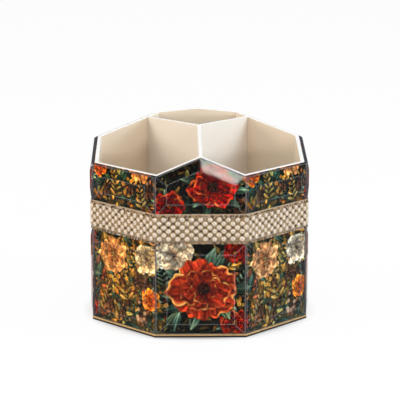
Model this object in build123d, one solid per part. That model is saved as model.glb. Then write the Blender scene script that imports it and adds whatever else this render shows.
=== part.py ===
from build123d import *
import os
from math import cos, radians, sin, tan

# A revolving caddy for the dressing table. An eight-sided box of white boards is wrapped in a printed
# sheet, clad with bevelled glass tiles above and below a belt of half pearls, and split into three
# compartments. It turns on a ball bearing that is hidden under its floor.
# Lengths are in millimetres, angles in degrees. Z = 0 is the table, and -Y is the front.

# Outside of the box
across_flats = 151.4
corner_height = 111.8
front_peak_rise = 12.7
side_rise = 6.3
rear_corner_rise = 15.9
rear_peak_rise = 18.8
hub_rise = 20.1
skirt_gap = 1.2

# Layers of a wall, from the outside in
glass_thickness = 3.5
glass_edge = 2.2
bevel_width = 7.2
wrap_thickness = 0.3
board_thickness = 2.6
divider_thickness = 2.1
rim_reveal = 1.0
rear_divider_angle = 30.0

# Trim
belt_bottom = 66.5
ribbon_thickness = 2.0
lace_height_top = 2.5
lace_height_bottom = 1.3
lace_thickness = 2.3
base_trim_height = 2.4
base_trim_thickness = 2.4
bead_depth = 1.0
bead_bulge = 0.2

# Pearls
pearl_diameter = 3.1
pearls_per_side = 10
pearl_rows = 6
pearl_row_pitch = 2.57
pearl_margin = 0.125

# Floor
floor_bottom = 12.0
floor_thickness = 9.0
pad_thickness = 1.2
pad_clearance = 0.3

# Bearing and base
foot_height = 2.0
foot_diameter = 11.0
foot_circle = 50.0
foot_count = 4
foot_start = 45.0
foot_chamfer = 0.4
base_disc_diameter = 120.0
base_disc_thickness = 3.0
base_disc_rounding = 0.8
race_diameter = 92.0
race_hole_diameter = 14.0
race_thickness = 2.6
ball_diameter = 4.0
ball_circle = 40.0
ball_count = 24
ball_clearance = 0.1
cage_thickness = 1.0
cage_width = 7.0

# Fasteners
screw_count = 4
screw_circle = 29.0
upper_screw_start = 0.0
lower_screw_start = 45.0
access_hole_angle = 90.0
screw_diameter = 2.6
screw_head_diameter = 5.2
screw_head_height = 1.3
screw_slot_width = 0.7
screw_slot_depth = 0.4
lower_screw_length = 4.8
upper_screw_length = 8.0
screw_clearance = 0.05
access_hole_diameter = 8.0

# Pivot
spindle_diameter = 6.0
spindle_head_diameter = 15.0
spindle_head_height = 1.4
spindle_fit = 0.05
bush_wall = 1.5
bush_flange_diameter = 14.0
bush_flange_height = 0.8
floor_web = 3.5
pocket_diameter = 19.0
washer_diameter = 13.0
washer_thickness = 0.8
nut_across_flats = 10.0
nut_thickness = 3.2
running_gap = 0.1
spindle_overhang = 0.3
cut_over = 1.0

# Worked out from the above
side_count = 8
side_names = ("front", "front_right", "right", "rear_right", "rear", "rear_left", "left", "front_left")
step_angle = 360 / side_count
standing = (Align.CENTER, Align.CENTER, Align.MIN)
half_slope = tan(radians(step_angle / 2))
glass_face = across_flats / 2
glass_back = glass_face - glass_thickness
board_face = glass_back - wrap_thickness
liner_face = board_face - board_thickness
ribbon_face = glass_back + ribbon_thickness
corner_half = board_face * half_slope
corner_z = skirt_gap + corner_height
highest_z = corner_z + max(hub_rise, rear_peak_rise, front_peak_rise)
pearl_field_height = (pearl_rows - 1) * pearl_row_pitch + pearl_diameter
ribbon_height = pearl_field_height + 2 * pearl_margin
belt_top = belt_bottom + lace_height_bottom + ribbon_height + lace_height_top
floor_top = floor_bottom + floor_thickness
corner_rise = (0, 0, 0, side_rise, rear_corner_rise, rear_corner_rise, side_rise, 0)
peak_rise = {"front": front_peak_rise, "rear": rear_peak_rise}
base_disc_top = foot_height + base_disc_thickness
upper_race_bottom = floor_bottom - race_thickness
lower_race_top = base_disc_top + race_thickness
ball_z = (upper_race_bottom + lower_race_top) / 2


def side_plane(index):
    """Plane of one side, with local X along the side, local Y up and local Z outwards."""
    angle = radians(-90 + step_angle * index)
    return Plane(origin=(0, 0, 0), x_dir=(-sin(angle), cos(angle), 0), z_dir=(cos(angle), sin(angle), 0))


def rim_z(index, along):
    """Height of the rim of a side, at a distance along it from its middle."""
    ends = corner_rise[index], corner_rise[(index + 1) % side_count]
    middle = peak_rise.get(side_names[index], sum(ends) / 2)
    end = ends[1] if along > 0 else ends[0]
    return corner_z + middle + (end - middle) * abs(along) / corner_half


def rim_outline(index, half, bottom, drop=0.0):
    """Outline of a side from a level bottom up to the rim, counterclockwise from outside."""
    points = [(-half, bottom), (half, bottom), (half, rim_z(index, half) - drop)]
    if side_names[index] in peak_rise:
        points.append((0, rim_z(index, 0) - drop))
    points.append((-half, rim_z(index, -half) - drop))
    return points


def level_outline(half, bottom, top):
    return [(-half, bottom), (half, bottom), (half, top), (-half, top)]


def inset(points, distance):
    """The same convex outline with each side moved inwards."""
    lines = []
    for (x0, y0), (x1, y1) in zip(points, points[1:] + points[:1]):
        length = ((x1 - x0) ** 2 + (y1 - y0) ** 2) ** 0.5
        nx, ny = -(y1 - y0) / length, (x1 - x0) / length
        lines.append((nx, ny, nx * x0 + ny * y0 + distance))
    moved = []
    for (a0, b0, c0), (a1, b1, c1) in zip(lines[-1:] + lines[:-1], lines):
        scale = a0 * b1 - a1 * b0
        moved.append(((c0 * b1 - c1 * b0) / scale, (a0 * c1 - a1 * c0) / scale))
    return moved


def slab(index, points, inner, outer):
    """Plate on one side between two distances from the axis."""
    return side_plane(index) * Pos(0, 0, inner) * extrude(Polygon(*points, align=None), outer - inner)


def sector(index, inner, outer):
    """Prism that trims a plate's ends to the mitres of the corners."""
    plan = [(-inner * half_slope, -inner), (-outer * half_slope, -outer),
            (outer * half_slope, -outer), (inner * half_slope, -inner)]
    return Rot(0, 0, step_angle * index) * extrude(Polygon(*plan, align=None), highest_z + cut_over)


def octagon(apothem, bottom, top):
    plan = RegularPolygon(apothem, side_count, major_radius=False, rotation=step_angle / 2)
    return Pos(0, 0, bottom) * extrude(plan, top - bottom)


def mitred_to_rim(index, inner, outer, bottom, drop=0.0):
    points = rim_outline(index, outer * half_slope, bottom, drop)
    return slab(index, points, inner, outer) & sector(index, inner, outer)


def mitred_level(index, inner, outer, bottom, top):
    points = level_outline(outer * half_slope, bottom, top)
    return slab(index, points, inner, outer) & sector(index, inner, outer)


def ring_of(make):
    return [make(index) for index in range(side_count)]


def level_ring(inner, outer, bottom, top):
    return ring_of(lambda index: mitred_level(index, inner, outer, bottom, top))


def disc(diameter, bottom, top, hole=0.0):
    body = Pos(0, 0, bottom) * Cylinder(diameter / 2, top - bottom, align=standing)
    if hole:
        body -= Cylinder(hole / 2, 4 * highest_z)
    return body


def around(count, radius, start=0.0):
    return [Rot(0, 0, start + 360 * n / count) * Pos(radius, 0, 0) for n in range(count)]


# Box

def wall_board(index):
    return mitred_to_rim(index, liner_face, board_face, skirt_gap)


def print_wrap():
    return ring_of(lambda index: mitred_to_rim(index, board_face, glass_back, skirt_gap, rim_reveal))


def bevelled_tile(index, points):
    """Glass plate with a wide ground bevel all round its outer face."""
    edge_face = glass_back + glass_edge
    top = inset(points, bevel_width)
    lower = Pos(0, 0, edge_face) * Polygon(*points, align=None)
    upper = Pos(0, 0, glass_face) * Polygon(*top, align=None)
    crown = side_plane(index) * loft([lower.face(), upper.face()], ruled=True)
    return slab(index, points, glass_back, edge_face) + crown


def upper_tile(index):
    return bevelled_tile(index, rim_outline(index, glass_back * half_slope, belt_top, rim_reveal))


def lower_tile(index):
    points = level_outline(glass_back * half_slope, skirt_gap + base_trim_height, belt_bottom)
    return bevelled_tile(index, points)


def corner_bead(index, bottom, top):
    """Bead of trim in the bottom of the groove between two tiles, at the corner where a side starts."""
    reach = bead_depth + bead_bulge
    half = step_angle / 2
    plan = [(0, 0), (bead_depth * cos(radians(half)), -bead_depth * sin(radians(half))), (reach, 0),
            (bead_depth * cos(radians(half)), bead_depth * sin(radians(half)))]
    bead = extrude(Polygon(*plan, align=None), top - bottom)
    corner = glass_back / cos(radians(half))
    return Rot(0, 0, -90 + step_angle * index - half) * Pos(corner, 0, bottom) * bead


def upper_bead(index):
    return corner_bead(index, belt_top, corner_z + corner_rise[index] - rim_reveal)


def lower_bead(index):
    return corner_bead(index, skirt_gap + base_trim_height, belt_bottom)


def base_trim():
    face = glass_back + base_trim_thickness
    return level_ring(glass_back, face, skirt_gap, skirt_gap + base_trim_height)


# Compartments

divider_angles = {"front": -90.0, "right": 90 - rear_divider_angle, "left": 90 + rear_divider_angle}
divider_sides = {"front": "front", "right": "rear_right", "left": "rear_left"}


def hub_corner(angle_a, angle_b):
    """Point near the hub where the facing sides of two dividers meet."""
    middle = radians((angle_a + angle_b) / 2)
    reach = divider_thickness / 2 / sin(radians((angle_b - angle_a) / 2))
    return (reach * cos(middle), reach * sin(middle))


def divider_strip(name, thickness, bottom, top):
    """Upright strip from the hub out past the wall, mitred to its neighbours at the hub."""
    order = ["front", "right", "left"]
    place = order.index(name)
    angle = divider_angles[name]
    before = divider_angles[order[place - 1]] - (360 if place == 0 else 0)
    after = divider_angles[order[(place + 1) % 3]] + (360 if place == 2 else 0)
    grow = thickness / divider_thickness
    first = Vector(*hub_corner(before, angle)) * grow
    second = Vector(*hub_corner(angle, after)) * grow
    along = Vector(cos(radians(angle)), sin(radians(angle)))
    across = Vector(-along.Y, along.X) * (thickness / 2)
    far = along * across_flats
    plan = [(0, 0), tuple(first)[:2], tuple(far - across)[:2], tuple(far + across)[:2], tuple(second)[:2]]
    return Pos(0, 0, bottom) * extrude(Polygon(*plan, align=None), top - bottom)


def divider(name):
    side = side_names.index(divider_sides[name])
    off_centre = radians(divider_angles[name] - (step_angle * side - 90))
    wall_distance = liner_face / cos(off_centre)
    wall_z = rim_z(side, liner_face * tan(off_centre))
    profile = [(-divider_thickness, floor_top), (wall_distance, floor_top), (wall_distance, wall_z),
               (0, corner_z + hub_rise), (-divider_thickness, corner_z + hub_rise)]
    angle = radians(divider_angles[name])
    plane = Plane(origin=(0, 0, 0), x_dir=(cos(angle), sin(angle), 0), z_dir=(sin(angle), -cos(angle), 0))
    plate = plane * extrude(Polygon(*profile, align=None), across_flats, both=True)
    strip = divider_strip(name, divider_thickness, floor_top, highest_z)
    return strip & octagon(liner_face, floor_top, highest_z) & plate


def floor_pads():
    """Soft pads cut to the three compartments, named by where they lie."""
    top = floor_top + pad_thickness
    sheet = octagon(liner_face - pad_clearance, floor_top, top)
    for name in divider_angles:
        sheet -= divider_strip(name, divider_thickness + 2 * pad_clearance, floor_top, top)
    pads = {}
    for pad in sheet.solids():
        centre = pad.center()
        pads["rear" if abs(centre.X) < 1 else "left" if centre.X < 0 else "right"] = pad
    return pads


def floor_board():
    board = octagon(liner_face, floor_bottom, floor_top)
    board -= disc(pocket_diameter, floor_bottom + floor_web, floor_top + cut_over)
    board -= disc(bush_outer, floor_bottom - 1, floor_top)
    return board - screw_holes(floor_bottom, up=True, start=upper_screw_start)


# Pearl belt

def ribbon():
    bottom, top = belt_bottom + lace_height_bottom, belt_top - lace_height_top
    return level_ring(glass_back, ribbon_face, bottom, top)


def lace(bottom, top):
    return level_ring(glass_back, glass_back + lace_thickness, bottom, top)


def pearls():
    """Half pearls in staggered rows, on every side and round its corners."""
    radius = pearl_diameter / 2
    pitch = 2 * ribbon_face * half_slope / pearls_per_side
    first_z = belt_bottom + lace_height_bottom + pearl_margin + radius
    corner = ribbon_face / cos(radians(step_angle / 2))
    backing = octagon(ribbon_face, -radius, radius)
    corner_pearl = Rot(0, 0, step_angle / 2) * Pos(corner, 0, 0) * Sphere(radius) - backing
    side_pearl = Sphere(radius, arc_size1=0, align=standing)
    placed = []
    for row in range(pearl_rows):
        z = first_z + row * pearl_row_pitch
        whole = row % 2
        for index in range(side_count):
            place = side_plane(index) * Pos(0, z, ribbon_face)
            for n in range(pearls_per_side - whole):
                along = (n - (pearls_per_side - 1 - whole) / 2) * pitch
                placed.append(place * Pos(along, 0, 0) * side_pearl)
            if whole:
                placed.append(Pos(0, 0, z) * Rot(0, 0, step_angle * index) * corner_pearl)
    return placed


# Bearing and base

bush_outer = spindle_diameter + 2 * (spindle_fit + bush_wall)


def screw(length):
    """Countersunk screw, head up, with the flat of its head at the origin."""
    shank = Pos(0, 0, -length) * Cylinder(screw_diameter / 2, length, align=standing)
    cone = Cone(screw_diameter / 2, screw_head_diameter / 2, screw_head_height)
    head = Pos(0, 0, -screw_head_height / 2) * cone
    slot = Box(screw_head_diameter, screw_slot_width, 2 * screw_slot_depth)
    return shank + head - slot - Rot(0, 0, 90) * slot


def screws(z, length, up=False, start=0.0):
    turn = Rot(180, 0, 0) if up else Rot(0, 0, 0)
    one = Pos(0, 0, z) * turn * screw(length)
    return [place * one for place in around(screw_count, screw_circle, start)]


def screw_holes(face_z, up=False, start=0.0):
    """Clearance holes for the screws, countersunk from the face that the heads sink into."""
    radius = screw_diameter / 2 + screw_clearance
    head = screw_head_diameter / 2 + screw_clearance
    hole = Cylinder(radius, 2 * upper_screw_length)
    sink = Pos(0, 0, -screw_head_height / 2) * Cone(radius, head, screw_head_height)
    tool = hole + sink if face_z in (lower_race_top, upper_race_bottom) else hole
    turned = Pos(0, 0, face_z) * (Rot(180, 0, 0) if up else Rot(0, 0, 0)) * tool
    return [place * turned for place in around(screw_count, screw_circle, start)]


def ball_groove():
    section = Pos(ball_circle, ball_z) * Circle(ball_diameter / 2 + ball_clearance)
    return revolve(Plane.XZ * section, Axis.Z)


def access_hole():
    place = around(1, screw_circle, access_hole_angle)[0]
    return place * Cylinder(access_hole_diameter / 2, 2 * lower_race_top)


def lower_race():
    race = disc(race_diameter, base_disc_top, lower_race_top, race_hole_diameter)
    return race - ball_groove() - screw_holes(lower_race_top, start=lower_screw_start) - access_hole()


def upper_race():
    race = disc(race_diameter, upper_race_bottom, floor_bottom, race_hole_diameter)
    return race - ball_groove() - screw_holes(upper_race_bottom, up=True, start=upper_screw_start)


def ball_cage():
    inner, outer = ball_circle - cage_width / 2, ball_circle + cage_width / 2
    cage = disc(2 * outer, ball_z - cage_thickness / 2, ball_z + cage_thickness / 2, 2 * inner)
    pocket = Cylinder(ball_diameter / 2 + ball_clearance, ball_diameter)
    return cage - [place * Pos(0, 0, ball_z) * pocket for place in around(ball_count, ball_circle)]


def bearing_balls():
    ball = Pos(0, 0, ball_z) * Sphere(ball_diameter / 2)
    return [place * ball for place in around(ball_count, ball_circle)]


def base_disc():
    body = disc(base_disc_diameter, foot_height, base_disc_top)
    body = fillet(body.edges().filter_by(GeomType.CIRCLE), base_disc_rounding)
    body -= disc(spindle_diameter + 2 * spindle_fit, 0, base_disc_top + cut_over)
    body -= disc(spindle_head_diameter + 2 * spindle_fit, 0, foot_height + spindle_head_height)
    return body - screw_holes(base_disc_top, start=lower_screw_start) - access_hole()


def rubber_feet():
    foot = Cylinder(foot_diameter / 2, foot_height, align=standing)
    foot = chamfer(foot.faces().sort_by(Axis.Z)[0].edges(), foot_chamfer)
    return [place * foot for place in around(foot_count, foot_circle, foot_start)]


washer_bottom = floor_bottom + floor_web + bush_flange_height + running_gap
nut_bottom = washer_bottom + washer_thickness
nut_top = nut_bottom + nut_thickness


def spindle():
    head = disc(spindle_head_diameter, foot_height, foot_height + spindle_head_height)
    return head + disc(spindle_diameter, foot_height, nut_top + spindle_overhang)


def spindle_nut():
    plan = RegularPolygon(nut_across_flats / 2, 6, major_radius=False)
    nut = Pos(0, 0, nut_bottom) * extrude(plan, nut_thickness)
    return nut - disc(spindle_diameter + 2 * spindle_fit, 0, highest_z)


def pivot_bush():
    flange_bottom = floor_bottom + floor_web
    sleeve = disc(bush_outer, floor_bottom, flange_bottom + bush_flange_height)
    flange = disc(bush_flange_diameter, flange_bottom, flange_bottom + bush_flange_height)
    return sleeve + flange - disc(spindle_diameter + 2 * spindle_fit, 0, highest_z)


# Export

def save(name, shape):
    solids = list(shape) if isinstance(shape, list) else [shape]
    parts = [solid for item in solids for solid in item.solids()]
    whole = parts[0] if len(parts) == 1 else Compound(children=parts)
    whole.label = name
    export_step(whole, f"parts/{name}.step")


os.makedirs("parts", exist_ok=True)

for side, side_name in enumerate(side_names):
    save(f"wall_{side_name}", wall_board(side))
    save(f"upper_glass_{side_name}", upper_tile(side))
    save(f"lower_glass_{side_name}", lower_tile(side))

for divider_name in divider_angles:
    save(f"divider_{divider_name}", divider(divider_name))

for pad_name, pad_shape in floor_pads().items():
    save(f"floor_pad_{pad_name}", pad_shape)

save("floor_board", floor_board())
save("print_wrap", print_wrap())
save("corner_beads_upper", ring_of(upper_bead))
save("corner_beads_lower", ring_of(lower_bead))
save("base_trim", base_trim())
save("belt_ribbon", ribbon())
save("belt_lace_top", lace(belt_top - lace_height_top, belt_top))
save("belt_lace_bottom", lace(belt_bottom, belt_bottom + lace_height_bottom))
save("belt_pearls", pearls())

save("upper_race", upper_race())
save("upper_race_screws", screws(upper_race_bottom, upper_screw_length, up=True, start=upper_screw_start))
save("pivot_bush", pivot_bush())
save("ball_cage", ball_cage())
save("bearing_balls", bearing_balls())
save("lower_race", lower_race())
save("lower_race_screws", screws(lower_race_top, lower_screw_length, start=lower_screw_start))
save("base_disc", base_disc())
save("rubber_feet", rubber_feet())
save("spindle", spindle())
save("spindle_washer", disc(washer_diameter, washer_bottom, nut_bottom, spindle_diameter + 2 * spindle_fit))
save("spindle_nut", spindle_nut())
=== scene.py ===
# %% [markdown]
# A revolving caddy for the dressing table
#
# The object is an eight-sided box of white boards with three pockets inside. A printed floral sheet is
# wrapped round it, bevelled glass tiles cover the print, and a belt of half pearls runs round the middle.
# The solid parts come from a CAD model that is loaded as a fixed frame. This script gives every part its
# finish, and models anew the pieces whose looks need more than the CAD shape has: the boards with their
# softened edges, the printed sheet, the glass, the belt and the trims.

# %% Load the frame
import math

import bmesh
import bpy
import numpy as np
from mathutils import Matrix, Vector


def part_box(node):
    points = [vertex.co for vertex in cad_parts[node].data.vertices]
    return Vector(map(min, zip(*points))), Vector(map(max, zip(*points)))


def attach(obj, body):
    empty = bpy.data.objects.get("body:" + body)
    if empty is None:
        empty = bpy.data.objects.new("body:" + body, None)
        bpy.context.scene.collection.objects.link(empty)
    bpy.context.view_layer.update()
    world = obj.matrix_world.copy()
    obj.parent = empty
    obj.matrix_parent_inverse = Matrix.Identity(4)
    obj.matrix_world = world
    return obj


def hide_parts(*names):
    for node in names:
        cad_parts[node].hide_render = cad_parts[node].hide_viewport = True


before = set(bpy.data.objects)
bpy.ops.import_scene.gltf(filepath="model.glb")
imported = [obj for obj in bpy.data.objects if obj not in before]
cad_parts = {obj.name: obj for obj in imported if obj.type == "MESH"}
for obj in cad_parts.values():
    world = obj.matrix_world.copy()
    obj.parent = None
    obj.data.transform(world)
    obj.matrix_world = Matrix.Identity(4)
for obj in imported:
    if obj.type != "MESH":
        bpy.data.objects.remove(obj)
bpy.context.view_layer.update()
MM = 0.001
SIDE_NAMES = ("front", "front_right", "right", "rear_right", "rear", "rear_left", "left", "front_left")
STEP_ROUND = 2 * math.pi / len(SIDE_NAMES)

# %% [markdown]
# Every size comes from the frame. The front wall, print, tile and belt face -Y, so the Y coordinates of
# their boxes are the distances of each layer from the turning axis, and their Z coordinates are its
# heights. The other seven sides repeat the front one, turned by 45 degrees each. The print is bonded to
# the back of the glass, so it lies a hair inside it: an air gap would mirror the floor over the colours.

# %% Sizes from the frame
HALF_SLOPE = math.tan(STEP_ROUND / 2)
GLASS_BACK = -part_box("lower_glass_front")[1].y
GLASS_FACE = -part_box("lower_glass_front")[0].y
BOARD_FACE = -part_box("wall_front")[0].y
RIBBON_FACE = -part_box("belt_ribbon")[0].y
LACE_FACE = -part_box("belt_lace_top")[0].y
BOND = 0.08 * MM
PRINT_FACE = GLASS_BACK + BOND
for layer, face in (("board", BOARD_FACE), ("print", PRINT_FACE), ("back of the glass", GLASS_BACK),
                    ("face of the glass", GLASS_FACE), ("ribbon", RIBBON_FACE), ("lace", LACE_FACE)):
    print(layer, "is", round(face / MM, 2), "mm from the axis")


# %% [markdown]
# The camera stands 1.3 m away and looks down by about 13 degrees, with a long lens that keeps the
# uprights nearly parallel. In the photograph the box is turned by just under a degree, so the camera
# goes round it by as much the other way.

# %% Camera
CAMERA_DISTANCE = 1.307
CAMERA_ELEVATION = math.radians(13.46)
CAMERA_AZIMUTH = math.radians(-0.89)
CAMERA_ASIDE = 0.0007
TARGET_HEIGHT = 0.0790
LENS_MM, SENSOR_MM = 166.8, 36.0

camera_data = bpy.data.cameras.new("camera")
camera_data.lens = LENS_MM
camera_data.sensor_width = SENSOR_MM
camera = bpy.data.objects.new("camera", camera_data)
swing = Matrix.Rotation(CAMERA_AZIMUTH, 4, "Z")
tilt = Matrix.Rotation(math.pi / 2 - CAMERA_ELEVATION, 4, "X")
reach = CAMERA_DISTANCE * math.cos(CAMERA_ELEVATION)
height = TARGET_HEIGHT + CAMERA_DISTANCE * math.sin(CAMERA_ELEVATION)
camera.matrix_world = swing @ Matrix.Translation((CAMERA_ASIDE, -reach, height)) @ tilt
bpy.context.scene.collection.objects.link(camera)
bpy.context.scene.camera = camera
bpy.context.scene.view_settings.view_transform = "Standard"
print("camera at", [round(v, 3) for v in camera.matrix_world.translation])

# %% [markdown]
# Materials share a few helpers. A node tree reads more easily when each node is made and wired in one
# call, so `add` takes a node's type, its settings and what goes into its inputs, and `maths` does the
# same for the many Math nodes.


# %% Node helpers
def add(tree, kind, inputs=None, **settings):
    """New node of a tree. An input is a value, or the output socket that feeds it."""
    node = tree.nodes.new(kind)
    for name, value in settings.items():
        setattr(node, name, value)
    for key, value in (inputs or {}).items():
        if isinstance(value, bpy.types.NodeSocket):
            tree.links.new(value, node.inputs[key])
        else:
            node.inputs[key].default_value = value
    return node


def maths(tree, operation, *values):
    """Output of a Math node that works on these values or sockets."""
    return add(tree, "ShaderNodeMath", dict(enumerate(values)), operation=operation).outputs[0]


def srgb(red, green, blue):
    """Colour given as 0 to 255 on screen, as the linear values that shaders take."""
    return tuple(((c / 255 + 0.055) / 1.055) ** 2.4 for c in (red, green, blue)) + (1.0,)


def new_tree(name):
    """Material with an empty node tree."""
    material = bpy.data.materials.new(name)
    material.use_nodes = True
    material.node_tree.nodes.clear()
    return material, material.node_tree


def finish_with(tree, shader):
    """Ends a material in this shader."""
    output = add(tree, "ShaderNodeOutputMaterial")
    tree.links.new(shader.outputs[0], output.inputs["Surface"])


# %% [markdown]
# The floor is plain white. Far from the object it would fall off to grey, so for what the camera,
# mirrors and glass see, most of it is an even white of strength 1. Round the foot it stays ordinary
# white paint, which keeps the shadow under the box. Glass seen edge-on mirrors all that is behind it, so
# two dark cards stand there, which only reflections and glass see. They draw the left and right edges of
# the box dark against the white, an old trick for glassware.

# %% Floor and cards
FLOOR_HALF, CARD_HALF = 6.0, 0.125
SHADOW_FROM, SHADOW_TO = 0.064, 0.083
EVEN_WHITE = 0.95
CARD_ASIDE, CARD_BEHIND, CARD_HEIGHT = 0.225, 0.12, 0.13


def object_from(name, mesh, *materials):
    """Blender object made of a bmesh, with its materials."""
    data = bpy.data.meshes.new(name)
    mesh.to_mesh(data)
    mesh.free()
    for material in materials:
        data.materials.append(material)
    made = bpy.data.objects.new(name, data)
    bpy.context.scene.collection.objects.link(made)
    return made


def square(name, half, material, lean=0.0):
    """Flat square for the stage, leaning about the X axis."""
    mesh = bmesh.new()
    bmesh.ops.create_grid(mesh, x_segments=1, y_segments=1, size=half, matrix=Matrix.Rotation(lean, 4, "X"))
    return object_from(name, mesh, material)


def white_floor():
    """White paint near the foot, and an even white further out, for all but the light that it bounces."""
    material, tree = new_tree("white_floor")
    rays = add(tree, "ShaderNodeLightPath").outputs
    seen = rays["Is Camera Ray"]
    for kind in ("Is Glossy Ray", "Is Transmission Ray"):
        seen = maths(tree, "MAXIMUM", seen, rays[kind])
    place = add(tree, "ShaderNodeTexCoord").outputs["Object"]
    from_middle = add(tree, "ShaderNodeVectorMath", {0: place}, operation="LENGTH").outputs["Value"]
    away = add(tree, "ShaderNodeMapRange", {"Value": from_middle, "From Min": SHADOW_FROM,
                                            "From Max": SHADOW_TO, "To Max": EVEN_WHITE})
    share = maths(tree, "MULTIPLY", seen, away.outputs["Result"])
    paint = add(tree, "ShaderNodeBsdfPrincipled", {"Base Color": (0.9, 0.9, 0.9, 1), "Roughness": 0.9,
                                                   "Specular IOR Level": 0.0})
    glow = add(tree, "ShaderNodeEmission", {"Strength": 1.0})
    finish_with(tree, add(tree, "ShaderNodeMixShader", {0: share, 1: paint.outputs["BSDF"],
                                                        2: glow.outputs["Emission"]}))
    return material


def dark_card(name, x):
    material, tree = new_tree(name)
    finish_with(tree, add(tree, "ShaderNodeBsdfPrincipled", {"Base Color": (0.02, 0.018, 0.016, 1),
                                                             "Roughness": 1.0, "Specular IOR Level": 0.0}))
    card = square(name, CARD_HALF, material, lean=math.pi / 2)
    card.location = (x, CARD_BEHIND, CARD_HEIGHT)
    card.visible_camera = card.visible_diffuse = card.visible_shadow = False


floor = square("floor", FLOOR_HALF, white_floor())
dark_card("card_left", -CARD_ASIDE)
dark_card("card_right", CARD_ASIDE)
print("stage:", floor.name, "and two cards", 2 * CARD_HALF, "m wide")

# %% [markdown]
# A large soft lamp hangs overhead. Two side lamps, one cool and one warm, tint the two dividers apart. A
# small bright one stands low behind the camera to the right, just where the sloping bevel of the front
# gable mirrors it. All are soft rectangles, as a studio's light boxes are: a point lamp or the sun would
# draw hard shadows, which the photograph doesn't show.

# %% Lamps and sky
LAMPS_AIM = Vector((0, 0, 0.07))
SKY_STRENGTH = 0.35


def lamp(name, place, size, power, colour=(1, 1, 1)):
    data = bpy.data.lights.new(name, "AREA")
    data.shape = "RECTANGLE"
    data.size, data.size_y = size
    data.energy = power
    data.color = colour
    light = bpy.data.objects.new(name, data)
    light.location = place
    light.rotation_euler = (LAMPS_AIM - light.location).to_track_quat("-Z", "Y").to_euler()
    bpy.context.scene.collection.objects.link(light)


lamp("overhead", (0.0, -0.15, 1.6), (1.8, 1.8), 14.5)
lamp("gable_highlight", (0.285, -1.65, 0.28), (0.17, 0.10), 4.6, (1.0, 0.94, 0.93))
lamp("right_panel", (1.58, -0.45, 0.6), (0.9, 0.9), 20.5, (0.78, 0.90, 1.0))
lamp("left_panel", (-1.58, -0.45, 0.6), (0.9, 0.9), 16.5, (1.0, 0.92, 0.79))

world = bpy.data.worlds.new("studio")
world.use_nodes = True
sky = world.node_tree.nodes["Background"].inputs
sky["Color"].default_value = (1, 1, 1, 1)
sky["Strength"].default_value = SKY_STRENGTH
bpy.context.scene.world = world

# %% [markdown]
# Two effects come back in many finishes, so each is built once as a node group. `mottle` takes a colour
# and a roughness and varies both with soft noise, as paint, metal and glass do where they are touched.
# `grain` gives the height of a fine uneven surface, for a Bump node. Copying the nodes into each finish
# would work as well, but then a change would have to be made twenty times.


# %% Shared effects
def new_group(name, inputs, outputs):
    """Empty node group. Its sockets are given as pairs of a name and a kind."""
    group = bpy.data.node_groups.new(name, "ShaderNodeTree")
    for in_out, sockets in (("INPUT", inputs), ("OUTPUT", outputs)):
        for label, kind in sockets:
            group.interface.new_socket(name=label, in_out=in_out, socket_type="NodeSocket" + kind)
    given, result = group.nodes.new("NodeGroupInput"), group.nodes.new("NodeGroupOutput")
    return group, given.outputs, result.inputs


mottle, given, result = new_group(
    "mottle",
    [("Colour", "Color"), ("Depth", "Float"), ("Roughness", "Float"), ("Spread", "Float"), ("Size", "Float")],
    [("Colour", "Color"), ("Roughness", "Float")])
place = add(mottle, "ShaderNodeTexCoord").outputs["Object"]
patches = add(mottle, "ShaderNodeTexNoise", {"Vector": place, "Scale": given["Size"], "Detail": 4.0})
specks = add(mottle, "ShaderNodeTexNoise", {"Vector": place, "Scale": 900.0, "Detail": 2.0})
both = maths(mottle, "ADD", patches.outputs["Fac"], specks.outputs["Fac"])
sway = maths(mottle, "SUBTRACT", both, 1.0)
tone = maths(mottle, "MULTIPLY_ADD", sway, given["Depth"], 1.0)
shaded = add(mottle, "ShaderNodeVectorMath", {0: given["Colour"], "Scale": tone}, operation="SCALE")
rough = maths(mottle, "MULTIPLY_ADD", sway, given["Spread"], given["Roughness"])
mottle.links.new(shaded.outputs["Vector"], result["Colour"])
mottle.links.new(rough, result["Roughness"])

grain, given, result = new_group("grain", [("Size", "Float"), ("Detail", "Float")], [("Height", "Float")])
place = add(grain, "ShaderNodeTexCoord").outputs["Object"]
bumps = add(grain, "ShaderNodeTexNoise", {"Vector": place, "Scale": given["Size"], "Detail": given["Detail"],
                                          "Roughness": 0.6})
grain.links.new(bumps.outputs["Fac"], result["Height"])
print("node groups:", [g.name for g in bpy.data.node_groups])

# %% [markdown]
# Most finishes are the same few steps: mottled colour and roughness, a fine bump, and a Principled
# shader with its own constants. `surface` wires the shader, and `finish` makes a whole material of it.
# The constants that a finish needs are set on the shader itself.

# %% Finishes
SHALLOW = 0.1 * MM


def grouped(tree, group, **inputs):
    """Shared effect placed in a material, with values of its own."""
    return add(tree, "ShaderNodeGroup", inputs, node_tree=group)


def surface(tree, look, height, strength, distance=SHALLOW, **constants):
    """Principled shader with a mottled look and a bump. Constants are inputs of the shader by name."""
    relief = add(tree, "ShaderNodeBump", {"Height": height, "Strength": strength, "Distance": distance})
    shader = add(tree, "ShaderNodeBsdfPrincipled", {
        "Base Color": look.outputs["Colour"], "Roughness": look.outputs["Roughness"],
        "Normal": relief.outputs["Normal"]})
    for label, value in constants.items():
        shader.inputs[label.replace("_", " ")].default_value = value
    return shader


def finish(name, colour, depth, roughness, bump, spread=0.15, size=60.0, bump_size=800.0, **constants):
    """Material of one mottled colour with a fine bump."""
    material, tree = new_tree(name)
    look = grouped(tree, mottle, Colour=colour, Depth=depth, Roughness=roughness, Spread=spread, Size=size)
    height = grouped(tree, grain, Size=bump_size, Detail=3.0)
    finish_with(tree, surface(tree, look, height.outputs["Height"], bump, **constants))
    return material


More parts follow.
